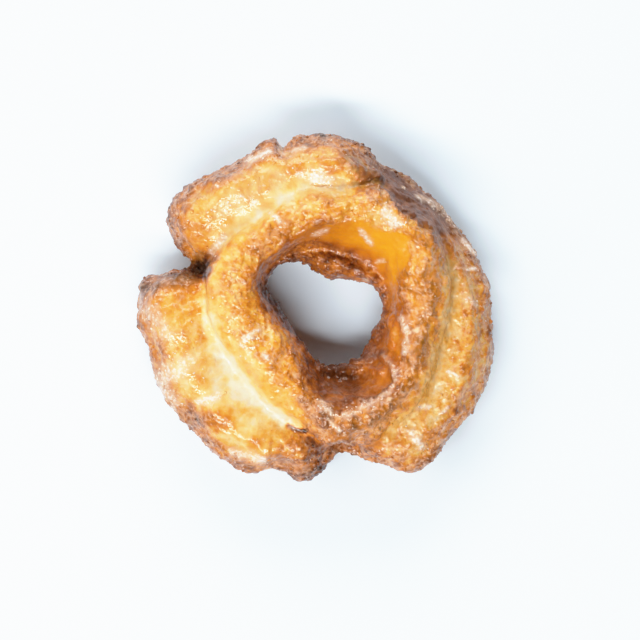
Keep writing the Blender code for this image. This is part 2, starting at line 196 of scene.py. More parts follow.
# Strokes on top of the doughnut: strength, width in mm, and the points of their lines in mm.
FROST_AND_HIGHLIGHTS = (  # thick white glaze, partly painted highlights and glints
    (0.85, 5.4, ((0.2, 33.6), (2.6, 32.4))), (0.6, 3.2, ((-4.0, 33.6), (-1.0, 33.2))),
    # The last stroke here and both on the next line are painted highlights on the smooth inner slope.
    (0.8, 4.0, ((17.8, 24.2), (20.6, 20.9))), (0.68, 1.8, ((-0.5, 18.3), (2.8, 19.6))),
    (0.78, 2.0, ((11.9, 19.4), (14.2, 16.3))), (0.7, 1.4, ((15.5, 11.5), (17.3, 12.0))),
    # The small strokes on this line, on the next and the first on the one after are partly painted glints on
    # the ring and the upper-left petal.
    (0.75, 2.2, ((-11.0, 24.0), (-9.0, 21.7))), (0.9, 1.6, ((-18.7, 28.3), (-18.1, 28.0))),
    (0.8, 1.4, ((-22.5, 24.5), (-22.0, 24.0))), (0.8, 1.3, ((-25.0, 31.1), (-24.5, 30.8))),
    (0.7, 1.6, ((-16.0, 26.0), (-14.6, 27.2))), (0.72, 7.6, ((-37.0, -17.0), (-32.4, -14.4))),
    (0.62, 6.4, ((-40.0, -17.4), (-36.0, -24.4))), (0.85, 3.0, ((-29.6, -24.0), (-25.0, -22.7))),
    (0.75, 3.6, ((-20.9, -36.7), (-13.3, -38.8))), (0.6, 6.0, ((-42.6, -1.0), (-37.3, -6.1))),
    # The wide first stroke here is a haze of glaze with painted glints over the upper-left petal.
    (0.4, 9.0, ((-24.0, 24.0), (-9.0, 33.5))), (0.35, 3.2, ((-18.0, -9.0), (-14.0, -22.0), (-5.0, -30.0))),
    (0.75, 2.6, ((-18.7, -8.9), (-14.3, -5.6))), (0.7, 1.8, ((-13.0, -11.8), (-11.0, -13.5))),
    (0.68, 2.4, ((1.5, -24.0), (4.6, -27.0))), (0.65, 2.4, ((7.4, -27.2), (10.6, -26.2), (13.8, -24.2))),
    (0.7, 1.3, ((3.4, -28.2), (6.1, -31.1))), (0.7, 2.8, ((22.1, -2.6), (23.4, -6.7), (22.7, -11.2))),
    (0.9, 2.8, ((24.4, -31.6), (27.2, -35.0))), (0.85, 1.4, ((33.9, -16.1), (36.7, -17.4))),
    (0.7, 1.8, ((26.2, -25.5), (29.5, -25.0))), (0.7, 1.4, ((31.8, -26.8), (33.6, -25.5))),
    (0.7, 2.0, ((26.0, 28.6), (30.6, 26.3))), (0.6, 3.0, ((31.6, 25.9), (37.2, 20.6))),
    (0.8, 2.0, ((37.7, 17.3), (40.8, 13.8))), (0.9, 1.2, ((38.7, 9.7), (41.0, 9.9))),
    (1.0, 0.9, ((22.4, 30.8), (22.9, 30.6))), (0.65, 2.2, ((38.7, 2.8), (41.0, 0.7))),
    (0.8, 2.4, ((-16.4, 37.7), (-11.8, 39.8))), (0.7, 1.8, ((-7.2, 39.5), (-2.6, 40.8))),
    (0.7, 2.6, NOTCH_SIDE), (0.55, 2.2, RING_FOLD),
)
FILM_SHADE_AND_SHEEN_STROKES = (  # lilac film, which on the upper right side and the torn end is also painted shade and a painted lilac reflection of the sky
    (0.45, 4.0, TORN_END), (0.4, 4.0, ((-33.4, 25.5), (-23.5, 34.1), (-13.3, 38.2))),
    (0.8, 5.5, ((9.7, 37.7), (14.8, 32.6))),
    (0.9, 8.0, ((15.5, 34.4), (22.8, 29.6), (28.4, 25.8), (34.2, 21.4))),
    (0.85, 4.6, ((17.0, 36.8), (24.5, 31.8), (31.0, 26.2), (36.2, 20.6))),
    (0.9, 2.4, ((13.2, -12.8), (16.8, -11.5))), (0.7, 1.2, UPPER_CURL + ((15.3, -10.7),)),
    (0.6, 1.0, LOWER_CURL), (0.6, 2.4, NOTCH_SIDE),
)
BROWN_SHADE_AND_LIGHT_STROKES = (  # browner crust and painted shade where the strength is above 0, paler crust and painted light where it is below 0
    (0.3, 5.0, ((-30.4, -26.5), (-22.0, -29.9))), (0.2, 3.0, ((-15.0, -34.0), (-9.0, -36.0))),
    # On this line the stroke along the torn end is painted shade on its wall, and the pale stroke beside the
    # top petal is painted light in a crease.
    (0.25, 4.0, TORN_END), (-0.3, 4.0, ((8.6, 34.6), (15.5, 33.2))),
    (1.0, 1.2, ((-6.9, -29.9), (-4.6, -31.2), (-2.3, -31.2))), (0.5, 1.6, TOP_NOTCH),
    # This stroke is painted shade in the recess low inside the ring.
    (0.2, 5.0, ((3.5, -17.9), (9.1, -19.4))),
    # The first stroke on this line is painted shade along the crease above the lip, and the pale one along
    # the petal's back is painted light in the valley.
    (0.22, 2.6, ((2.1, 16.7), (7.9, 14.8), (13.5, 12.2), (16.8, 10.3))), (-0.2, 4.0, PETAL_BACK),
    (-0.4, 2.4, SPUR), (-0.3, 3.0, LIP_FOLD),
)
RIDGES = (  # crust that stands proud, with the strength as its height in mm
    (1.3, 1.8, SPUR), (0.9, 1.6, RING_FOLD + ((11.2, -23.7),)), (1.2, 2.4, LIP_FOLD), (0.7, 1.0, UPPER_CURL),
    (0.7, 0.9, LOWER_CURL), (-0.6, 0.9, ((-6.9, -30.1), (-4.6, -31.4), (-2.3, -31.4))),
    (-0.8, 1.6, TOP_NOTCH), (1.3, 3.4, ((8.6, 35.0), (15.5, 32.9))), (0.6, 2.2, ((1.0, 31.8), (14.0, 31.6))),
    (0.8, 3.4, PETAL_BACK),
)
NODULE, GRIT = 1.8, 0.9  # widths of the nodules and of the grit on them in the crust's finish

MERGED, ANY_ANGLE = 1e-7, 3.0  # the solid's triangles are joined at this distance in metres, at any angle
SUBDIVISIONS = 3  # of the plain solid, before its relief
CLOSING_ROUNDS, BULGE_ROUNDS = 120, 60  # of averaging, which close the crack and tell what bulges

# Heights between which each of these comes in on the way up, mm.
TOP_HEIGHT = 4.0, 8.0  # strokes
CRACK_HEIGHT = 7.0, 11.0  # the closing of the crack
TEETH_HEIGHT = 15.0, 20.0  # the torn brow's teeth
STREWN_HEIGHT = 1.5, 3.0  # crumbs and flecks

BROWN_PATCHES = 0.2  # how unevenly the crust browned
# How much browner it is for each mm that its relief stands out and that its form bulges, and at most.
BROWN_RELIEF, BROWN_BULGE, BROWN_MOST = 0.15, 0.12, 0.1
LACE_FLECKS, FROST_FLECKS = 0.06, 0.3  # how thickly flecks lie on lace and on thick glaze with its painted highlights

# Clock angles and heights of the lights, in degrees, and what the camera makes of the brightest parts.
LIGHTS = {"key": (260, 56), "fill": (182, 38), "back": (94, 27)}
WHITE_LEVEL = 4.0  # the brightness at the end of the tone curve
TONES = (  # how bright it is, how bright it shows, and how the curve bends there
    (0.75, 0.75, "VECTOR"), (1.15, 0.94, "AUTO_CLAMPED"), (1.5, 0.975, "AUTO_CLAMPED"))

CRUST_LEVELS = ("craggy", "browning_and_shade", "amber", "film_shade_and_sheen", "soak", "lace", "clumped", "frost_and_highlights", "glaze_depth")
NAMED = "GeometryNodeInputNamedAttribute"
RANDOM = "FunctionNodeRandomValue"
MATH, VECTOR_MATH = "ShaderNodeMath", "ShaderNodeVectorMath"
NOISE, CELLS = "ShaderNodeTexNoise", "ShaderNodeTexVoronoi"
MIX, RANGE = "ShaderNodeMix", "ShaderNodeMapRange"
OPERATIONS = "DIVIDE", "SUBTRACT", "ADD", "SCALE", "MULTIPLY", "MULTIPLY_ADD", "MAXIMUM"
DIVIDE, SUBTRACT, ADD, SCALE, MULTIPLY, MULTIPLY_ADD, MAXIMUM = ({"operation": name} for name in OPERATIONS)
SMOOTHSTEP = {"interpolation_type": "SMOOTHSTEP"}
RGBA = {"data_type": "RGBA"}


def linear(colour):
    """An sRGB hex colour as linear red, green, blue and alpha."""
    shares = [int(colour[i : i + 2], 16) / 255 for i in (0, 2, 4)]
    return (*(s / 12.92 if s <= 0.04045 else ((s + 0.055) / 1.055) ** 2.4 for s in shares), 1.0)


def around(keys, angle):
    """A value at each clock angle, from a number or from keys that it runs smoothly between."""
    if not isinstance(keys, dict):
        return np.full_like(angle, keys)
    at = np.array(sorted(keys), float)
    value = np.array([keys[key] for key in sorted(keys)], float)
    at = np.concatenate([[at[-1] - 360], at, [at[0] + 360]])
    value = np.concatenate([value[-1:], value, value[:1]])
    left = np.clip(np.searchsorted(at, angle, side="right") - 1, 0, len(at) - 2)
    share = (angle - at[left]) / (at[left + 1] - at[left])
    share = share * share * (3 - 2 * share)
    return value[left] * (1 - share) + value[left + 1] * share


def rise(value, low, high):
    """0 up to low, 1 from high on, and smooth between them."""
    share = np.clip((value - low) / (high - low), 0, 1)
    return share * share * (3 - 2 * share)


def rows(items, name, width, kind=np.float32):
    """What every vertex or edge says under this name, one row each."""
    flat = np.empty(len(items) * width, kind)
    items.foreach_get(name, flat)
    return flat.reshape(-1, width)


def band(value, inner, outer, fades):
    """1 between two edges, and 0 away from them, with how far from each edge it rises and falls."""
    (low, high), (start, end) = fades
    return rise(value, inner + low, inner + high) * (1 - rise(value, outer + start, outer + end))


def points(mesh):
    """Every vertex's place in mm."""
    return rows(mesh.vertices, "co", 3).astype(float) / MM


def move(mesh, place):
    """Puts every vertex at its place in mm."""
    mesh.vertices.foreach_set("co", (place * MM).astype(np.float32).ravel())


def edges(mesh):
    return rows(mesh.edges, "vertices", 2, np.int32)


def relaxed(place, ends, rounds):
    """Rows that belong to vertices, each averaged with its neighbours' this many times."""
    first, second = ends[:, 0], ends[:, 1]
    count = np.bincount(first, minlength=len(place)) + np.bincount(second, minlength=len(place))
    for _ in range(rounds):
        total = np.empty_like(place)
        for column in range(place.shape[1]):
            given = place[:, column]
            total[:, column] = np.bincount(first, given[second], len(place))
            total[:, column] += np.bincount(second, given[first], len(place))
        place = (place + total / count[:, None]) / 2
    return place


def speckle(place, size, octaves=2, seed=0.0):
    """Smooth noise from about -1 to 1 at places in mm, in lumps of a size in mm."""
    step = Vector((seed, seed * 1.7, -seed))
    return np.array([noise.fractal(Vector(row) / size + step, 1.0, 2.0, octaves) for row in place])


def clock(place):
    """Clock angle in degrees, reach in mm."""
    x, y = place[:, 0] - AXIS_X, place[:, 1] - AXIS_Y
    return np.degrees(np.arctan2(y, x)) % 360, np.hypot(x, y)


def rim_reach(angle, reach):
    """The doughnut's own outermost reach at each vertex's clock angle."""
    bins = np.zeros(360)
    np.maximum.at(bins, angle.astype(int) % 360, reach)
    bins = (np.roll(bins, 1) + 2 * bins + np.roll(bins, -1)) / 4
    return np.interp(angle, np.arange(-1, 361) + 0.5, np.concatenate([bins[-1:], bins, bins[:1]]))


def by_zone(place, reach, levels):
    """A level at each vertex, from the zones' levels, blended across their edges."""
    angle, _ = clock(place)
    rim = rim_reach(angle, reach)
    brow = around(BROW_EDGE, angle)
    crack = brow + around(CRACK_WIDTH, angle)
    pale = crack + around(PALE_WIDTH, angle)
    lip, slope, shoulder = (around(edge, angle) for edge in (LIP_EDGE, SLOPE_EDGE, SHOULDER_EDGE))
    level = around(levels["inside"], angle)
    starts = zip(BLENDS.items(), (lip, slope, shoulder, brow))
    steps = [(zone, edge + low, edge + high) for (zone, (low, high)), edge in starts]
    steps += [("petal", (crack + pale) / 2, pale), ("rim", rim - around(RIM_WIDTH, angle), rim - RIM_ENDS)]
    for zone, low, high in steps:
        share = rise(reach, low, high)
        level = level * (1 - share) + around(levels[zone], angle) * share
    top = rise(place[:, 2], *UNDERSIDE_TOP)
    return level * top + around(levels["underside"], angle) * (1 - top)


def store(mesh, name, values):
    """Keeps a number for each vertex under a name that materials and node trees read."""
    layer = mesh.attributes.get(name) or mesh.attributes.new(name, "FLOAT", "POINT")
    layer.data.foreach_set("value", np.asarray(values, np.float32))


def fetch(mesh, name):
    return rows(mesh.attributes[name].data, "value", 1).ravel().astype(float)


def add(tree, kind, settings, feeds, out=0):
    """Adds a node with its settings and gives one of its outputs.

    A feed is the value of an input, or another node's output that is linked to it.
    """
    node = tree.nodes.new(kind)
    for name, value in settings.items():
        setattr(node, name, value)
    for name, value in feeds.items():
        if isinstance(value, bpy.types.NodeSocket):
            tree.links.new(value, node.inputs[name])
        else:
            node.inputs[name].default_value = value
    return node.outputs[out] if node.outputs else None


def node_tree(name, inputs):
    """A Geometry Nodes tree with a geometry in and out, and named number inputs with their defaults."""
    tree = bpy.data.node_groups.new(name, "GeometryNodeTree")
    tree.interface.new_socket("Geometry", in_out="INPUT", socket_type="NodeSocketGeometry")
    tree.interface.new_socket("Geometry", in_out="OUTPUT", socket_type="NodeSocketGeometry")
    tree.interface.new_socket("Material", in_out="INPUT", socket_type="NodeSocketMaterial")
    for label, value in inputs.items():
        kind = "NodeSocketInt" if isinstance(value, int) else "NodeSocketFloat"
        tree.interface.new_socket(label, in_out="INPUT", socket_type=kind).default_value = value
    return tree, tree.nodes.new("NodeGroupInput").outputs


def end_tree(tree, given, geometry):
    """Ends a node tree: what it made becomes real mesh with its material."""
    real = add(tree, "GeometryNodeRealizeInstances", {}, {"Geometry": geometry})
    dressed = add(tree, "GeometryNodeSetMaterial", {}, {"Geometry": real, "Material": given["Material"]})
    add(tree, "NodeGroupOutput", {}, {"Geometry": dressed})


def run_tree(piece, tree, inputs):
    """Runs a node tree on a piece with these inputs, and keeps the result as the piece's plain mesh."""
    modifier = piece.modifiers.new(tree.name, "NODES")
    modifier.node_group = tree
    found = {item.name: item.identifier for item in tree.interface.items_tree if item.in_out == "INPUT"}
    for label, value in inputs.items():
        modifier[found[label]] = value
    bake(piece)


def bake(piece):
    """Makes what the piece's modifiers show its plain mesh, and removes them."""
    made = bpy.data.meshes.new_from_object(piece.evaluated_get(bpy.context.evaluated_depsgraph_get()))
    piece.modifiers.clear()
    old, piece.data = piece.data, made
    bpy.data.meshes.remove(old)
    made.name = piece.name


def new_piece(name, mesh):
    piece = bpy.data.objects.new(name, mesh)
    bpy.context.scene.collection.objects.link(piece)
    return piece


def new_material(name, looks):
    """A material with this name, and its shader with these settings that are the same all over."""
    material = bpy.data.materials.new(name)
    material.use_nodes = True
    shader = material.node_tree.nodes["Principled BSDF"]
    for label, value in looks.items():
        shader.inputs[label].default_value = value
    return material, material.node_tree, shader.inputs


def count_triangles(mesh):
    return sum(len(face.vertices) - 2 for face in mesh.polygons)


def stroke(place, width, line):
    """1 along a line drawn on top of the doughnut, falling softly to 0 at its ragged edge."""
    away = np.full(len(place), np.inf)
    for start, end in zip(line, line[1:]):
        along = np.subtract(end, start)
        part = place[:, :2] - start
        share = np.clip(part @ along / (along @ along), 0, 1)
        away = np.minimum(away, np.hypot(*(part - share[:, None] * along).T))
    away = away / width * 2
    near = away < 2.5
    away[near] += 0.45 * speckle(place[near], 1.8, 3, seed=5.0)
    return (1 - rise(away, 0.0, 1.7)) * rise(place[:, 2], *TOP_HEIGHT)


def strongest(place, strokes):
    """The strength of the strongest stroke at each vertex."""
    level = np.zeros(len(place))
    for strength, width, line in strokes:
        level = np.maximum(level, strength * stroke(place, width, line))
    return level


def wander(tree, settings, feeds, distance):
    """A push that drifts from place to place with the noise, up to half this distance each way."""
    push = add(tree, NOISE, settings, feeds, "Color")
    push = add(tree, VECTOR_MATH, SUBTRACT, {0: push, 1: (0.5, 0.5, 0.5)})
    return add(tree, VECTOR_MATH, SCALE, {0: push, "Scale": distance})


def crust_relief():
    """Raises nodules and crags along the normals, as craggy as the surface says, and pools glaze on them.

    It keeps the crust's own height, and how deep the glaze lies over it, for the material.
    """
    tree, given = node_tree("crust relief", {
        "Big Nodule": 2.6 * MM, "Small Nodule": 1.3 * MM, "Nodule Depth": 0.5 * MM, "Crag Size": 3.4 * MM,
        "Crag Depth": 0.5 * MM, "Seed": 3.0})
    place = add(tree, "GeometryNodeInputPosition", {}, {})
    craggy, lumpy, ridge, level = (
        add(tree, NAMED, {}, {"Name": name}) for name in ("craggy", "lumpy", "ridge", "glaze_level"))
    crags_per_metre = add(tree, MATH, DIVIDE, {0: 1.0, 1: given["Crag Size"]})
    seeded = {"noise_dimensions": "4D"}
    crags = {"Vector": place, "W": given["Seed"], "Scale": crags_per_metre}
    push = wander(tree, seeded, {**crags, "Detail": 3.0}, given["Crag Size"])
    warped = add(tree, VECTOR_MATH, ADD, {0: place, 1: push})
    nodules = {}
    for size, softness in (("Big Nodule", 0.35), ("Small Nodule", 0.25)):
        per_metre = add(tree, MATH, DIVIDE, {0: 1.0, 1: given[size]})
        cells = add(tree, CELLS, {"feature": "SMOOTH_F1"}, {
            "Vector": warped, "Scale": per_metre, "Smoothness": softness}, "Distance")
        nodules[size] = add(tree, MATH, SUBTRACT, {0: 0.45, 1: cells})
    coarse = add(tree, NOISE, {}, {"Vector": place, "Scale": 1 / (6.0 * MM), "Detail": 1.0}, "Fac")
    coarse = add(tree, RANGE, SMOOTHSTEP, {0: coarse, 1: 0.42, 2: 0.58, 4: 2.2})
    nodule = add(tree, MATH, MULTIPLY_ADD, {0: nodules["Big Nodule"], 1: coarse, 2: nodules["Small Nodule"]})
    nodule = add(tree, MATH, MULTIPLY, {0: nodule, 1: given["Nodule Depth"]})
    crag = add(tree, NOISE, seeded, {**crags, "Detail": 5.0, "Roughness": 0.62}, "Fac")
    crag = add(tree, MATH, MULTIPLY_ADD, {0: crag, 1: 4.0, 2: -2.0})
    crag = add(tree, MATH, MULTIPLY, {0: crag, 1: given["Crag Depth"]})
    crag = add(tree, MATH, MULTIPLY_ADD, {0: crag, 1: lumpy, 2: ridge})
    height = add(tree, MATH, MULTIPLY_ADD, {0: nodule, 1: craggy, 2: crag})
    depth = add(tree, MATH, SUBTRACT, {0: level, 1: height})
    kept = given["Geometry"]
    for name, value in (("height", height), ("glaze_depth", depth)):
        kept = add(tree, "GeometryNodeStoreNamedAttribute", {}, {
            "Geometry": kept, "Name": name, "Value": value})
    top = add(tree, MATH, {"operation": "SMOOTH_MAX"}, {0: height, 1: level, 2: 0.1 * MM})
    normal = add(tree, "GeometryNodeInputNormal", {}, {})
    offset = add(tree, VECTOR_MATH, SCALE, {0: normal, "Scale": top})
    end_tree(tree, given, add(tree, "GeometryNodeSetPosition", {}, {"Geometry": kept, "Offset": offset}))
    return tree


def strewn_grains():
    """Strews uneven grains over a surface, as thickly as its share says, each with its own turn on it."""
    tree, given = node_tree("strewn grains", {
        "Grains per Square Metre": 400000.0, "Gap": 0.5 * MM, "Smallest": 0.3 * MM, "Largest": 0.9 * MM,
        "Flatness": 0.6, "Unevenness": 0.2 * MM, "Fineness": 2, "Seed": 1})
    share = add(tree, NAMED, {}, {"Name": "share"})
    spots = add(tree, "GeometryNodeDistributePointsOnFaces", {"distribute_method": "POISSON"}, {
        "Mesh": given["Geometry"], "Distance Min": given["Gap"], "Density Factor": share,
        "Density Max": given["Grains per Square Metre"], "Seed": given["Seed"]}, "Points")
    turn = add(tree, RANDOM, {"data_type": "FLOAT_VECTOR"}, {
        0: (0.0, 0.0, 0.0), 1: (0.5, 0.5, math.tau), "Seed": given["Seed"]})
    turn = add(tree, "FunctionNodeEulerToRotation", {}, {"Euler": turn})
    turn = add(tree, "FunctionNodeRotateRotation", {"rotation_space": "LOCAL"}, {
        "Rotation": spots.node.outputs["Rotation"], "Rotate By": turn})
    size = add(tree, RANDOM, {}, {2: given["Smallest"], 3: given["Largest"], "Seed": given["Seed"]}, 1)
    width = add(tree, RANDOM, {}, {2: 0.35, 3: 1.0, "Seed": given["Seed"]}, 1)
    shape = add(tree, "ShaderNodeCombineXYZ", {}, {"X": 1.0, "Y": width, "Z": given["Flatness"]})
    shape = add(tree, VECTOR_MATH, SCALE, {0: shape, "Scale": size})
    grain = add(tree, "GeometryNodeMeshIcoSphere", {}, {"Radius": 0.5, "Subdivisions": given["Fineness"]})
    grains = add(tree, "GeometryNodeInstanceOnPoints", {}, {
        "Points": spots, "Instance": grain, "Rotation": turn, "Scale": shape})
    real = add(tree, "GeometryNodeRealizeInstances", {}, {"Geometry": grains})
    place = add(tree, "GeometryNodeInputPosition", {}, {})
    push = wander(tree, {}, {"Vector": place, "Scale": 1 / (0.5 * MM), "Detail": 2.0}, given["Unevenness"])
    end_tree(tree, given, add(tree, "GeometryNodeSetPosition", {}, {"Geometry": real, "Offset": push}))
    return tree


def fried_crust_material(colours):
    """Deep-fried cake crust under thin set sugar glaze.

    Frying browns what stands out and leaves torn crumb pale. The clear glaze gives sharp wet glints. Where it
    pools between the nodules it sets milky, with ragged edges. Painted shade darkens the hole, the steep
    upper right side and the torn ends, where the milky film also paints a lilac reflection of the sky; the
    small white dots are painted glints and the white patches are partly painted highlights.
    """
    material, tree, shader = new_material("deep-fried cake crust, glazed", {
        "IOR": 1.45, "Specular IOR Level": 0.25, "Coat Roughness": 0.14, "Coat IOR": 1.5,
        "Subsurface Weight": 0.25, "Subsurface Radius": (1.0, 0.5, 0.2), "Subsurface Scale": 0.6 * MM})
    place = add(tree, "ShaderNodeTexCoord", {}, {}, "Object")
    level = {
        name: add(tree, "ShaderNodeAttribute", {"attribute_name": name}, {}, "Fac") for name in CRUST_LEVELS}
    push = wander(tree, {}, {"Vector": place, "Scale": 1 / (2.2 * MM), "Detail": 2.0}, 1.5 * MM)
    uneven = add(tree, VECTOR_MATH, ADD, {0: push, 1: place})
    nodules = {"Vector": uneven, "Scale": 1 / (NODULE * MM)}
    nodule = add(tree, CELLS, {"feature": "F1"}, nodules, "Distance")
    seam = add(tree, CELLS, {"feature": "DISTANCE_TO_EDGE"}, nodules, "Distance")
    grit = add(tree, CELLS, {"feature": "F1"}, {"Vector": uneven, "Scale": 1 / (GRIT * MM)}, "Distance")
    mottled = {"Vector": place, "Detail": 3.0, "Roughness": 0.6}
    fine = add(tree, NOISE, {}, {**mottled, "Scale": 1 / (0.9 * MM)}, "Fac")
    blotch = add(tree, NOISE, {}, {**mottled, "Scale": 1 / (1.5 * MM)}, "Fac")

    # Browning, mottled where the crust is craggy, with painted shade in the hole, on the upper right side and
    # at the torn ends.
    mottle = add(tree, MATH, MULTIPLY_ADD, {0: blotch, 1: 0.8, 2: -0.33})
    mottle = add(tree, MATH, MULTIPLY_ADD, {0: nodule, 1: -0.2, 2: mottle})
    firm = add(tree, MATH, MULTIPLY_ADD, {0: level["craggy"], 1: 0.85, 2: 0.15})
    brown = add(tree, MATH, MULTIPLY_ADD, {0: mottle, 1: firm, 2: level["browning_and_shade"]})
    ramp = add(tree, "ShaderNodeValToRGB", {}, {0: brown})
    stops = ramp.node.color_ramp.elements
    stops[0].position, stops[0].color = 0.0, colours.crumb
    stops[1].position, stops[1].color = 1.0, colours.dark
    between = {0.18: colours.yellow, 0.34: colours.gold, 0.5: colours.orange, 0.68: colours.brown,
               0.84: colours.deep}
    for at, colour in between.items():
        stops.new(at).color = colour

    # Clear glaze soaked into it, and the milky film over it, which on the upper right side and the torn end
    # is also painted shade and a painted lilac reflection of the sky.
    clear = add(tree, MIX, RGBA, {0: level["soak"], 6: colours.amber, 7: colours.soaked}, 2)
    colour = add(tree, MIX, RGBA, {0: level["amber"], 6: ramp, 7: clear}, 2)
    film_shade_and_sheen_share = add(tree, RANGE, {}, {0: blotch, 1: 0.7, 2: 0.35, 3: 0.6, 4: 1.0})
    film_shade_and_sheen_share = add(tree, MATH, MULTIPLY, {0: film_shade_and_sheen_share, 1: level["film_shade_and_sheen"]})
    colour = add(tree, MIX, RGBA, {0: film_shade_and_sheen_share, 6: colour, 7: colours.film_shade_and_sheen}, 2)

    # White glaze: lace in the seams, small white specks that are painted glints, ragged patches that are
    # partly painted highlights, and what stands in the recesses.
    seam = add(tree, RANGE, SMOOTHSTEP, {0: seam, 1: 0.03, 2: 0.24, 3: 0.5, 4: 0.0})
    lace = add(tree, MATH, MULTIPLY, {0: seam, 1: level["clumped"]})
    glint_dots = add(tree, NOISE, {}, {"Vector": uneven, "Scale": 1 / (0.9 * MM), "Detail": 2.0}, "Fac")
    glint_dots = add(tree, RANGE, SMOOTHSTEP, {0: glint_dots, 1: 0.57, 2: 0.68, 4: 0.85})
    glint_dots = add(tree, MATH, MULTIPLY, {0: glint_dots, 1: level["lace"]})
    haze = add(tree, MATH, MULTIPLY_ADD, {0: blotch, 1: 1.0, 2: level["frost_and_highlights"]})
    haze = add(tree, RANGE, SMOOTHSTEP, {0: haze, 1: 0.6, 2: 1.5, 4: 0.75})
    white_patch_and_highlight = add(tree, MATH, MULTIPLY_ADD, {0: fine, 1: 1.8, 2: level["frost_and_highlights"]})
    white_patch_and_highlight = add(tree, RANGE, SMOOTHSTEP, {0: white_patch_and_highlight, 1: 1.4, 2: 2.05})
    depth = add(tree, MATH, MULTIPLY_ADD, {0: fine, 1: 0.5 * MM, 2: level["glaze_depth"]})
    pool = add(tree, RANGE, SMOOTHSTEP, {0: depth, 1: 0.25 * MM, 2: 0.8 * MM, 4: 0.8})
    white = lace
    for glaze in (glint_dots, pool, haze):
        white = add(tree, MATH, MAXIMUM, {0: white, 1: glaze})
    colour = add(tree, MIX, RGBA, {0: white, 6: colour, 7: colours.milky}, 2)
    colour = add(tree, MIX, RGBA, {0: white_patch_and_highlight, 6: colour, 7: colours.sugar}, 2)
    white = add(tree, MATH, MAXIMUM, {0: white, 1: white_patch_and_highlight})
    tree.links.new(colour, shader["Base Color"])
    rough = add(tree, MATH, MULTIPLY_ADD, {0: white, 1: -0.15, 2: 0.42})
    tree.links.new(rough, shader["Roughness"])
    wet = add(tree, RANGE, {}, {0: level["browning_and_shade"], 1: 0.1, 2: 0.35, 3: 0.35, 4: 0.9})
    wet = add(tree, MATH, MULTIPLY_ADD, {0: level["film_shade_and_sheen"], 1: -0.5, 2: wet})
    tree.links.new(wet, shader["Coat Weight"])

    # Nodules, the glaze between them, and the grit on them.
    lumps = add(tree, MATH, MULTIPLY_ADD, {0: white, 1: 0.3, 2: 1.0})
    lumps = add(tree, MATH, SUBTRACT, {0: lumps, 1: nodule})
    gritty = add(tree, MATH, MULTIPLY_ADD, {0: grit, 1: -0.5, 2: lumps})
    finest = add(tree, MATH, MULTIPLY_ADD, {0: fine, 1: 0.8, 2: gritty})
    firm = add(tree, MATH, MULTIPLY_ADD, {0: level["craggy"], 1: 0.7, 2: 0.25})
    for height, distance, socket in ((finest, 0.25 * MM, "Normal"), (gritty, 0.3 * MM, "Coat Normal")):
        bump = add(tree, "ShaderNodeBump", {}, {"Strength": firm, "Distance": distance, "Height": height})
        tree.links.new(bump, shader[socket])
    return material


def set_glaze_material(colours):
    """Flecks of sugar glaze, dried white: milky right through, a little rough, with small wet glints."""
    material, tree, shader = new_material("dried sugar glaze", {
        "Roughness": 0.4, "Coat Weight": 0.7, "Coat Roughness": 0.12, "Subsurface Weight": 0.5,
        "Subsurface Radius": (1.0, 0.9, 0.8), "Subsurface Scale": 0.3 * MM})
    place = add(tree, "ShaderNodeTexCoord", {}, {}, "Object")
    cloudy = add(tree, NOISE, {}, {"Vector": place, "Scale": 1 / (0.8 * MM), "Detail": 2.0}, "Fac")
    cloudy = add(tree, RANGE, {}, {0: cloudy, 1: 0.35, 2: 0.65})
    colour = add(tree, MIX, RGBA, {0: cloudy, 6: colours.milky, 7: colours.sugar}, 2)
    tree.links.new(colour, shader["Base Color"])
    bump = add(tree, "ShaderNodeBump", {}, {"Strength": 0.5, "Distance": 0.1 * MM, "Height": cloudy})
    tree.links.new(bump, shader["Normal"])
    return material


def size_property(label, about, default, low=0.0):
    return bpy.props.FloatProperty(
        name=label, description=about, default=default, min=low, unit="LENGTH", precision=5)


def colour_property(label, about, default):
    return bpy.props.FloatVectorProperty(
        name=label, description=about, default=linear(default), subtype="COLOR", size=4, min=0, max=1)


def power_property(label, about, default):
    return bpy.props.FloatProperty(name=label, description=about, default=default, min=0, unit="POWER")


class CrustSettings(bpy.types.PropertyGroup):
    """Sizes and colours of the fried crust."""

    big_nodule: size_property("Big Nodule", "Width of the big rounded nodules of crust", 2.6 * MM)
    small_nodule: size_property("Small Nodule", "Width of the small rounded nodules of crust", 1.3 * MM)
    nodule_depth: size_property("Nodule Depth", "How far a small nodule stands out", 0.5 * MM)
    crag_size: size_property("Crag Size", "Width of one ragged crag", 3.4 * MM)
    crag_depth: size_property("Crag Depth", "How far a crag stands out", 0.5 * MM)
    triangles: bpy.props.IntProperty(
        name="Triangles", description="Most triangles in the crust's mesh", default=194000, min=1000)
    crumb: colour_property("Crumb", "Torn crumb that the oil hardly browned", "DCCFB2")
    yellow: colour_property("Yellow", "Lightly fried dough", "E5BC7A")
    gold: colour_property("Gold", "Golden crust", "DEA043")
    orange: colour_property("Orange", "Well-fried crust", "CC7A20")
    brown: colour_property("Brown", "Browned crust", "A05A16")
    deep: colour_property("Deep Brown", "Deeply browned crust", "74390E")
    # The darkest colour is partly painted shade, in the hole and on the torn ends.
    dark: colour_property("Dark", "Darkest crust, in the hole and the torn ends", "32160A")
    soaked: colour_property("Soaked", "Inner slope where the clear glaze lies deepest", "A65508")
    amber: colour_property("Amber", "Smooth inner slope soaked with clear glaze", "E6981C")
    # On the upper right side and the torn end this colour also stands for painted shade and a painted lilac
    # reflection of the sky.
    film_shade_and_sheen: colour_property("Film", "Brown crust under a milky film of set glaze", "684232")
    # The milky colour also paints the glint dots on the nodules.
    milky: colour_property("Milky", "Thin milky glaze", "E6BE9C")
    # The sugar colour also paints the highlights on the crust's glaze.
    sugar: colour_property("Sugar", "Thick white glaze", "F2E0D0")


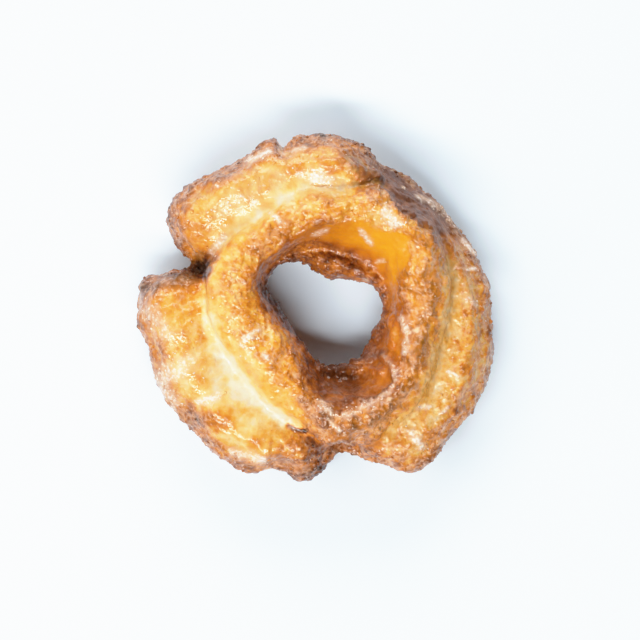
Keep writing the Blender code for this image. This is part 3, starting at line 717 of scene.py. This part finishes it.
class GrainSettings(bpy.types.PropertyGroup):
    """Crumbs and flecks of glaze that stick to the crust."""

    smallest_crumb: size_property("Smallest Crumb", "Length of the smallest crumb", 0.5 * MM)
    largest_crumb: size_property("Largest Crumb", "Length of the largest crumb", 1.3 * MM)
    crumb_gap: size_property("Crumb Gap", "Least distance between crumbs", 0.9 * MM)
    smallest_fleck: size_property("Smallest Fleck", "Length of the smallest fleck of glaze", 0.3 * MM)
    largest_fleck: size_property("Largest Fleck", "Length of the largest fleck of glaze", 0.75 * MM)
    fleck_gap: size_property("Fleck Gap", "Least distance between flecks", 0.6 * MM)


class StageSettings(bpy.types.PropertyGroup):
    """The camera, the light and the ground."""

    view_width: size_property("View Width", "Width of ground that the camera sees", 164.5 * MM)
    camera_height: size_property("Camera Height", "Height of the camera over the ground", 1.5)
    camera_x: size_property("Camera X", "How far right of the doughnut the camera stands", 1.3 * MM, -1.0)
    camera_y: size_property("Camera Y", "How far up the view the camera stands", -3.1 * MM, -1.0)
    ground_size: size_property("Ground Size", "Width of the ground", 3.0)
    key_width: size_property("Key Width", "Width of the bright light", 1.0)
    key_height: size_property("Key Height", "Height of the bright light", 0.12)
    key_power: power_property("Key Power", "Power of the bright light", 10.4)
    fill_width: size_property("Fill Width", "Width of the two soft lights", 0.9)
    fill_height: size_property("Fill Height", "Height of the two soft lights", 0.5)
    fill_power: power_property("Fill Power", "Power of the soft light from the left", 4.2)
    back_power: power_property("Back Power", "Power of the soft light from the far side", 9.2)
    light_distance: size_property("Light Distance", "From the doughnut to each light", 0.9)
    sky_strength: bpy.props.FloatProperty(
        name="Sky Strength", description="Strength of the even light from all round", default=0.04, min=0)
    ground: colour_property("Ground", "Pale matt ground", "E0F1FE")
    sky: colour_property("Sky", "Even light from all round", "DCE8FA")


class DOUGHNUT_OT_fried_crust(bpy.types.Operator):
    """Dresses the doughnut in deep-fried crust, with nodules, crags and smooth torn crumb"""

    bl_idname = "doughnut.fried_crust"
    bl_label = "Fried Crust"

    def execute(self, context):
        settings = context.scene.doughnut_crust
        crust = new_piece("crust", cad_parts[NODE].data.copy())
        crust.data.materials.clear()
        self.join_triangles(crust)
        smooth = crust.modifiers.new("smooth", "SUBSURF")
        smooth.levels = smooth.render_levels = SUBDIVISIONS
        bake(crust)
        self.roughen(crust, settings)
        shrink = crust.modifiers.new("shrink", "DECIMATE")
        shrink.ratio = min(1.0, settings.triangles / count_triangles(crust.data))
        shrink.use_collapse_triangulate = True
        bake(crust)
        crust.data.shade_smooth()
        self.colour(crust)
        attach(crust, BODY)
        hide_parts(NODE)
        return {"FINISHED"}

    def join_triangles(self, crust):
        """Makes the solid's loose triangles one surface of quads."""
        shape = bmesh.new()
        shape.from_mesh(crust.data)
        bmesh.ops.remove_doubles(shape, verts=shape.verts, dist=MERGED)
        bmesh.ops.join_triangles(
            shape, faces=shape.faces, angle_face_threshold=ANY_ANGLE, angle_shape_threshold=ANY_ANGLE)
        bmesh.ops.recalc_face_normals(shape, faces=shape.faces)
        shape.to_mesh(crust.data)
        shape.free()

    def roughen(self, crust, settings):
        """Closes the crack, tears the brow, and raises nodules, crags and ridges, down to the flat foot."""
        place = points(crust.data)
        angle, reach = clock(place)
        ragged = reach + EDGES_WANDER * speckle(place, EDGE_WAVES, 3)
        store(crust.data, "zone_reach", ragged)
        place = self.tear(self.close_crack(crust.data, place, angle, reach), angle, reach)
        move(crust.data, place)
        craggy = by_zone(place, ragged, CRAGGINESS)
        frost_and_highlights = strongest(place, FROST_AND_HIGHLIGHTS)
        level = by_zone(place, ragged, GLAZE_LEVEL) + 0.12 * speckle(place, 7.0, 2, seed=9.0)
        ridge = sum(height * stroke(place, width, line) for height, width, line in RIDGES)
        lip = around(LIP_EDGE, angle)
        inside = 1 - rise(ragged, lip - 1.0, lip + 0.6)
        store(crust.data, "craggy", craggy)
        store(crust.data, "lumpy", np.clip(craggy + 0.2, 0.35, 1.2) + 0.6 * inside)
        store(crust.data, "ridge", ridge * MM)
        store(crust.data, "glaze_level", np.maximum(level, 0.5 * frost_and_highlights - 0.3) * MM)
        run_tree(crust, crust_relief(), {
            "Material": fried_crust_material(settings), "Big Nodule": settings.big_nodule,
            "Small Nodule": settings.small_nodule, "Nodule Depth": settings.nodule_depth,
            "Crag Size": settings.crag_size, "Crag Depth": settings.crag_depth})
        place = points(crust.data)
        place[:, 2] = np.maximum(place[:, 2], 0.0)
        move(crust.data, place)
        crust.data.update()

    def close_crack(self, mesh, place, angle, reach):
        """Turns the sharp crack beside the brow into a soft valley."""
        brow = around(BROW_EDGE, angle)
        crack = brow + around(CRACK_WIDTH, angle)
        share = band(reach, brow, crack, CLOSED)
        share *= rise(place[:, 2], *CRACK_HEIGHT) * around(SOFTENED, angle)
        return place + (relaxed(place, edges(mesh), CLOSING_ROUNDS) - place) * share[:, None]

    def tear(self, place, angle, reach):
        """Draws the brow's edge out into ragged teeth where it tore away from the petals."""
        brow = around(BROW_EDGE, angle)
        edge = band(reach, brow, brow, RAGGED)
        edge *= rise(place[:, 2], *TEETH_HEIGHT) * around(TORN, angle)
        near = edge > 0
        draw = np.zeros(len(place))
        draw[near] = edge[near] * (0.35 + 1.5 * speckle(place[near], 1.6, 3, seed=7.0))
        draw += edge * TOOTH_LENGTH * np.maximum(0, 1 - np.abs(angle - TOOTH_ANGLE) / TOOTH_SPREAD)
        outward = (place - (AXIS_X, AXIS_Y, 0)) / np.maximum(reach, 1.0)[:, None]
        outward[:, 2] = 0
        return place + outward * draw[:, None]

    def colour(self, crust):
        """Works out how brown, how amber, how filmed and how white the crust is everywhere, painted shade, a
        painted lilac reflection and painted highlights included.
        """
        mesh = crust.data
        place, ragged = points(mesh), fetch(mesh, "zone_reach")
        outward = rows(mesh.vertex_normals, "vector", 3).astype(float)
        bulge = np.einsum("ij,ij->i", place - relaxed(place, edges(mesh), BULGE_ROUNDS), outward)
        patchy = BROWN_PATCHES * speckle(place, 4.0, 3, seed=3.0)
        browning_and_shade = by_zone(place, ragged, BROWNING_AND_SHADE) + patchy
        browning_and_shade += sum(
            np.clip(proud * browner, -BROWN_MOST, BROWN_MOST)
            for proud, browner in ((fetch(mesh, "height") / MM, BROWN_RELIEF), (bulge, BROWN_BULGE)))
        browning_and_shade += sum(much * stroke(place, width, line) for much, width, line in BROWN_SHADE_AND_LIGHT_STROKES)
        film_shade_and_sheen = by_zone(place, ragged, FILM_SHADE_AND_SHEEN) * (1 + 0.5 * speckle(place, 3.0, 3, seed=11.0))
        lace = np.clip(by_zone(place, ragged, LACE_AND_GLINTS), 0, 1)
        levels = {
            "craggy": by_zone(place, ragged, CRAGGINESS),
            "browning_and_shade": browning_and_shade,
            "amber": by_zone(place, ragged, AMBER),
            "film_shade_and_sheen": np.maximum(film_shade_and_sheen, strongest(place, FILM_SHADE_AND_SHEEN_STROKES)),
            "soak": self.soak(place, ragged) + patchy,
            "lace": lace,
            "clumped": lace * rise(speckle(place, 3.6, 2, seed=13.0), -0.05, 0.3),
            "frost_and_highlights": strongest(place, FROST_AND_HIGHLIGHTS),
        }
        for name, values in levels.items():
            store(mesh, name, np.clip(values, 0, 1))

    def soak(self, place, reach):
        """How deep clear glaze lies on the inner slope: most where it ran down to the lip."""
        angle, _ = clock(place)
        lip, slope = around(LIP_EDGE, angle), around(SLOPE_EDGE, angle)
        share = np.clip((reach - lip) / (slope - lip), 0, 1)
        inner = 1 - rise(share, 0.0, 0.45) * around(SOAK_BRIGHT, angle)
        return inner * (1 - rise(reach, slope, slope + 3.0))


def strew(name, crust, share, material, inputs):
    """Makes a piece of grains that lie on the crust, as thickly as the share at each vertex says."""
    grains = new_piece(name, crust.data.copy())
    place = points(grains.data)
    store(grains.data, "share", np.clip(share, 0, 1) * rise(place[:, 2], *STREWN_HEIGHT))
    run_tree(grains, strewn_grains(), {"Material": material, **inputs})
    if not grains.data.polygons:
        raise RuntimeError(f"{name}: nothing was strewn")
    grains.data.shade_smooth()
    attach(grains, BODY)


class DOUGHNUT_OT_crumbs(bpy.types.Operator):
    """Sticks fried crumbs to the rim, beside the torn brow and to the petals' torn ends"""

    bl_idname = "doughnut.crumbs"
    bl_label = "Crumbs"

    def execute(self, context):
        settings = context.scene.doughnut_grains
        crust = bpy.data.objects["crust"]
        place, ragged = points(crust.data), fetch(crust.data, "zone_reach")
        share = by_zone(place, ragged, CRUMBLY) * (0.6 + speckle(place, 5.0, 2, seed=17.0))
        strew("crumbs", crust, share, crust.data.materials[0], {
            "Gap": settings.crumb_gap, "Smallest": settings.smallest_crumb, "Largest": settings.largest_crumb,
            "Flatness": 0.6, "Unevenness": 0.5 * MM, "Seed": 1})
        return {"FINISHED"}


class DOUGHNUT_OT_glaze_flecks(bpy.types.Operator):
    """Strews small flecks of dried glaze where the crust is laced with it"""

    bl_idname = "doughnut.glaze_flecks"
    bl_label = "Glaze Flecks"

    def execute(self, context):
        settings = context.scene.doughnut_grains
        crust = bpy.data.objects["crust"]
        place = points(crust.data)
        share = LACE_FLECKS * fetch(crust.data, "lace") * rise(speckle(place, 3.0, 3, seed=23.0), -0.3, 0.5)
        share += FROST_FLECKS * fetch(crust.data, "frost_and_highlights")
        strew("glaze_flecks", crust, share, set_glaze_material(context.scene.doughnut_crust), {
            "Gap": settings.fleck_gap, "Smallest": settings.smallest_fleck, "Largest": settings.largest_fleck,
            "Flatness": 0.35, "Unevenness": 0.5 * MM, "Grains per Square Metre": 1.2e6, "Fineness": 1,
            "Seed": 2})
        return {"FINISHED"}


class DOUGHNUT_OT_stage(bpy.types.Operator):
    """Sets the pale ground, the soft light and the camera that looks straight down"""

    bl_idname = "doughnut.stage"
    bl_label = "Stage"

    def execute(self, context):
        settings = context.scene.doughnut_stage
        scene = context.scene
        self.exposure(scene)
        self.ground(settings)
        self.light(settings)
        self.camera(scene, settings)
        return {"FINISHED"}

    def ground(self, settings):
        bpy.ops.mesh.primitive_plane_add(size=settings.ground_size)
        ground = bpy.context.object
        ground.name = "ground"
        ground.data.materials.append(
            new_material("matt painted board", {"Base Color": settings.ground, "Roughness": 0.9})[0])

    def light(self, settings):
        world = bpy.data.worlds.new("studio")
        world.use_nodes = True
        background = world.node_tree.nodes["Background"]
        background.inputs["Color"].default_value = settings.sky
        background.inputs["Strength"].default_value = settings.sky_strength
        bpy.context.scene.world = world
        key = (settings.key_width, settings.key_height)
        soft = (settings.fill_width, settings.fill_height)
        lamps = {"key": (key, settings.key_power), "fill": (soft, settings.fill_power),
                 "back": (soft, settings.back_power)}
        for name, (size, power) in lamps.items():
            self.lamp(f"{name} light", *LIGHTS[name], settings.light_distance, size, power)

    def lamp(self, name, turn, lift, far, size, power):
        """Aims a flat lamp, level along its width, at the doughnut from a clock angle and a height."""
        panel = bpy.data.lights.new(name, "AREA")
        panel.shape = "RECTANGLE"
        panel.size, panel.size_y = size
        panel.energy = power
        lamp = bpy.data.objects.new(name, panel)
        turn, lift = math.radians(turn), math.radians(lift)
        toward = Vector((math.cos(turn) * math.cos(lift), math.sin(turn) * math.cos(lift), math.sin(lift)))
        lamp.location = toward * far
        lamp.rotation_euler = toward.to_track_quat("Z", "Y").to_euler()
        bpy.context.scene.collection.objects.link(lamp)

    def exposure(self, scene):
        """Plain colours, with the brightest part eased off as in a bright studio photo."""
        scene.view_settings.view_transform = "Standard"
        scene.view_settings.use_curve_mapping = True
        curves = scene.view_settings.curve_mapping
        curves.white_level = (WHITE_LEVEL,) * 3
        tone = curves.curves[3]
        tone.points[1].location = (1.0, 1.0)
        for bright, shown, handle in TONES:
            tone.points.new(bright / WHITE_LEVEL, shown).handle_type = handle
        curves.update()

    def camera(self, scene, settings):
        lens = bpy.data.cameras.new("camera")
        lens.lens = lens.sensor_width * settings.camera_height / settings.view_width
        camera = bpy.data.objects.new("camera", lens)
        camera.location = (settings.camera_x, settings.camera_y, settings.camera_height)
        scene.collection.objects.link(camera)
        scene.camera = camera


class DOUGHNUT_PT_looks(bpy.types.Panel):
    """Lists the settings and the operators that dress the doughnut"""

    bl_label = "Old-Fashioned Doughnut"
    bl_idname = "DOUGHNUT_PT_looks"
    bl_space_type = "VIEW_3D"
    bl_region_type = "UI"
    bl_category = "Doughnut"

    def draw(self, context):
        for name, operators in PANEL_ROWS:
            settings = getattr(context.scene, name)
            box = self.layout.box()
            for prop in settings.bl_rna.properties.keys():
                if prop not in ("rna_type", "name"):
                    box.prop(settings, prop)
            for operator in operators:
                box.operator(operator.bl_idname)


PANEL_ROWS = (
    ("doughnut_crust", (DOUGHNUT_OT_fried_crust,)),
    ("doughnut_grains", (DOUGHNUT_OT_crumbs, DOUGHNUT_OT_glaze_flecks)),
    ("doughnut_stage", (DOUGHNUT_OT_stage,)),
)
SETTINGS = {
    "doughnut_crust": CrustSettings, "doughnut_grains": GrainSettings, "doughnut_stage": StageSettings}
CLASSES = (*SETTINGS.values(), DOUGHNUT_OT_fried_crust, DOUGHNUT_OT_crumbs, DOUGHNUT_OT_glaze_flecks,
           DOUGHNUT_OT_stage, DOUGHNUT_PT_looks)


def register():
    for kind in CLASSES:
        bpy.utils.register_class(kind)
    for name, kind in SETTINGS.items():
        setattr(bpy.types.Scene, name, bpy.props.PointerProperty(type=kind))


def unregister():
    for name in SETTINGS:
        delattr(bpy.types.Scene, name)
    for kind in reversed(CLASSES):
        bpy.utils.unregister_class(kind)


def main():
    register()
    bpy.ops.doughnut.fried_crust()
    bpy.ops.doughnut.crumbs()
    bpy.ops.doughnut.glaze_flecks()
    bpy.ops.doughnut.stage()


if __name__ == "__main__":
    main()
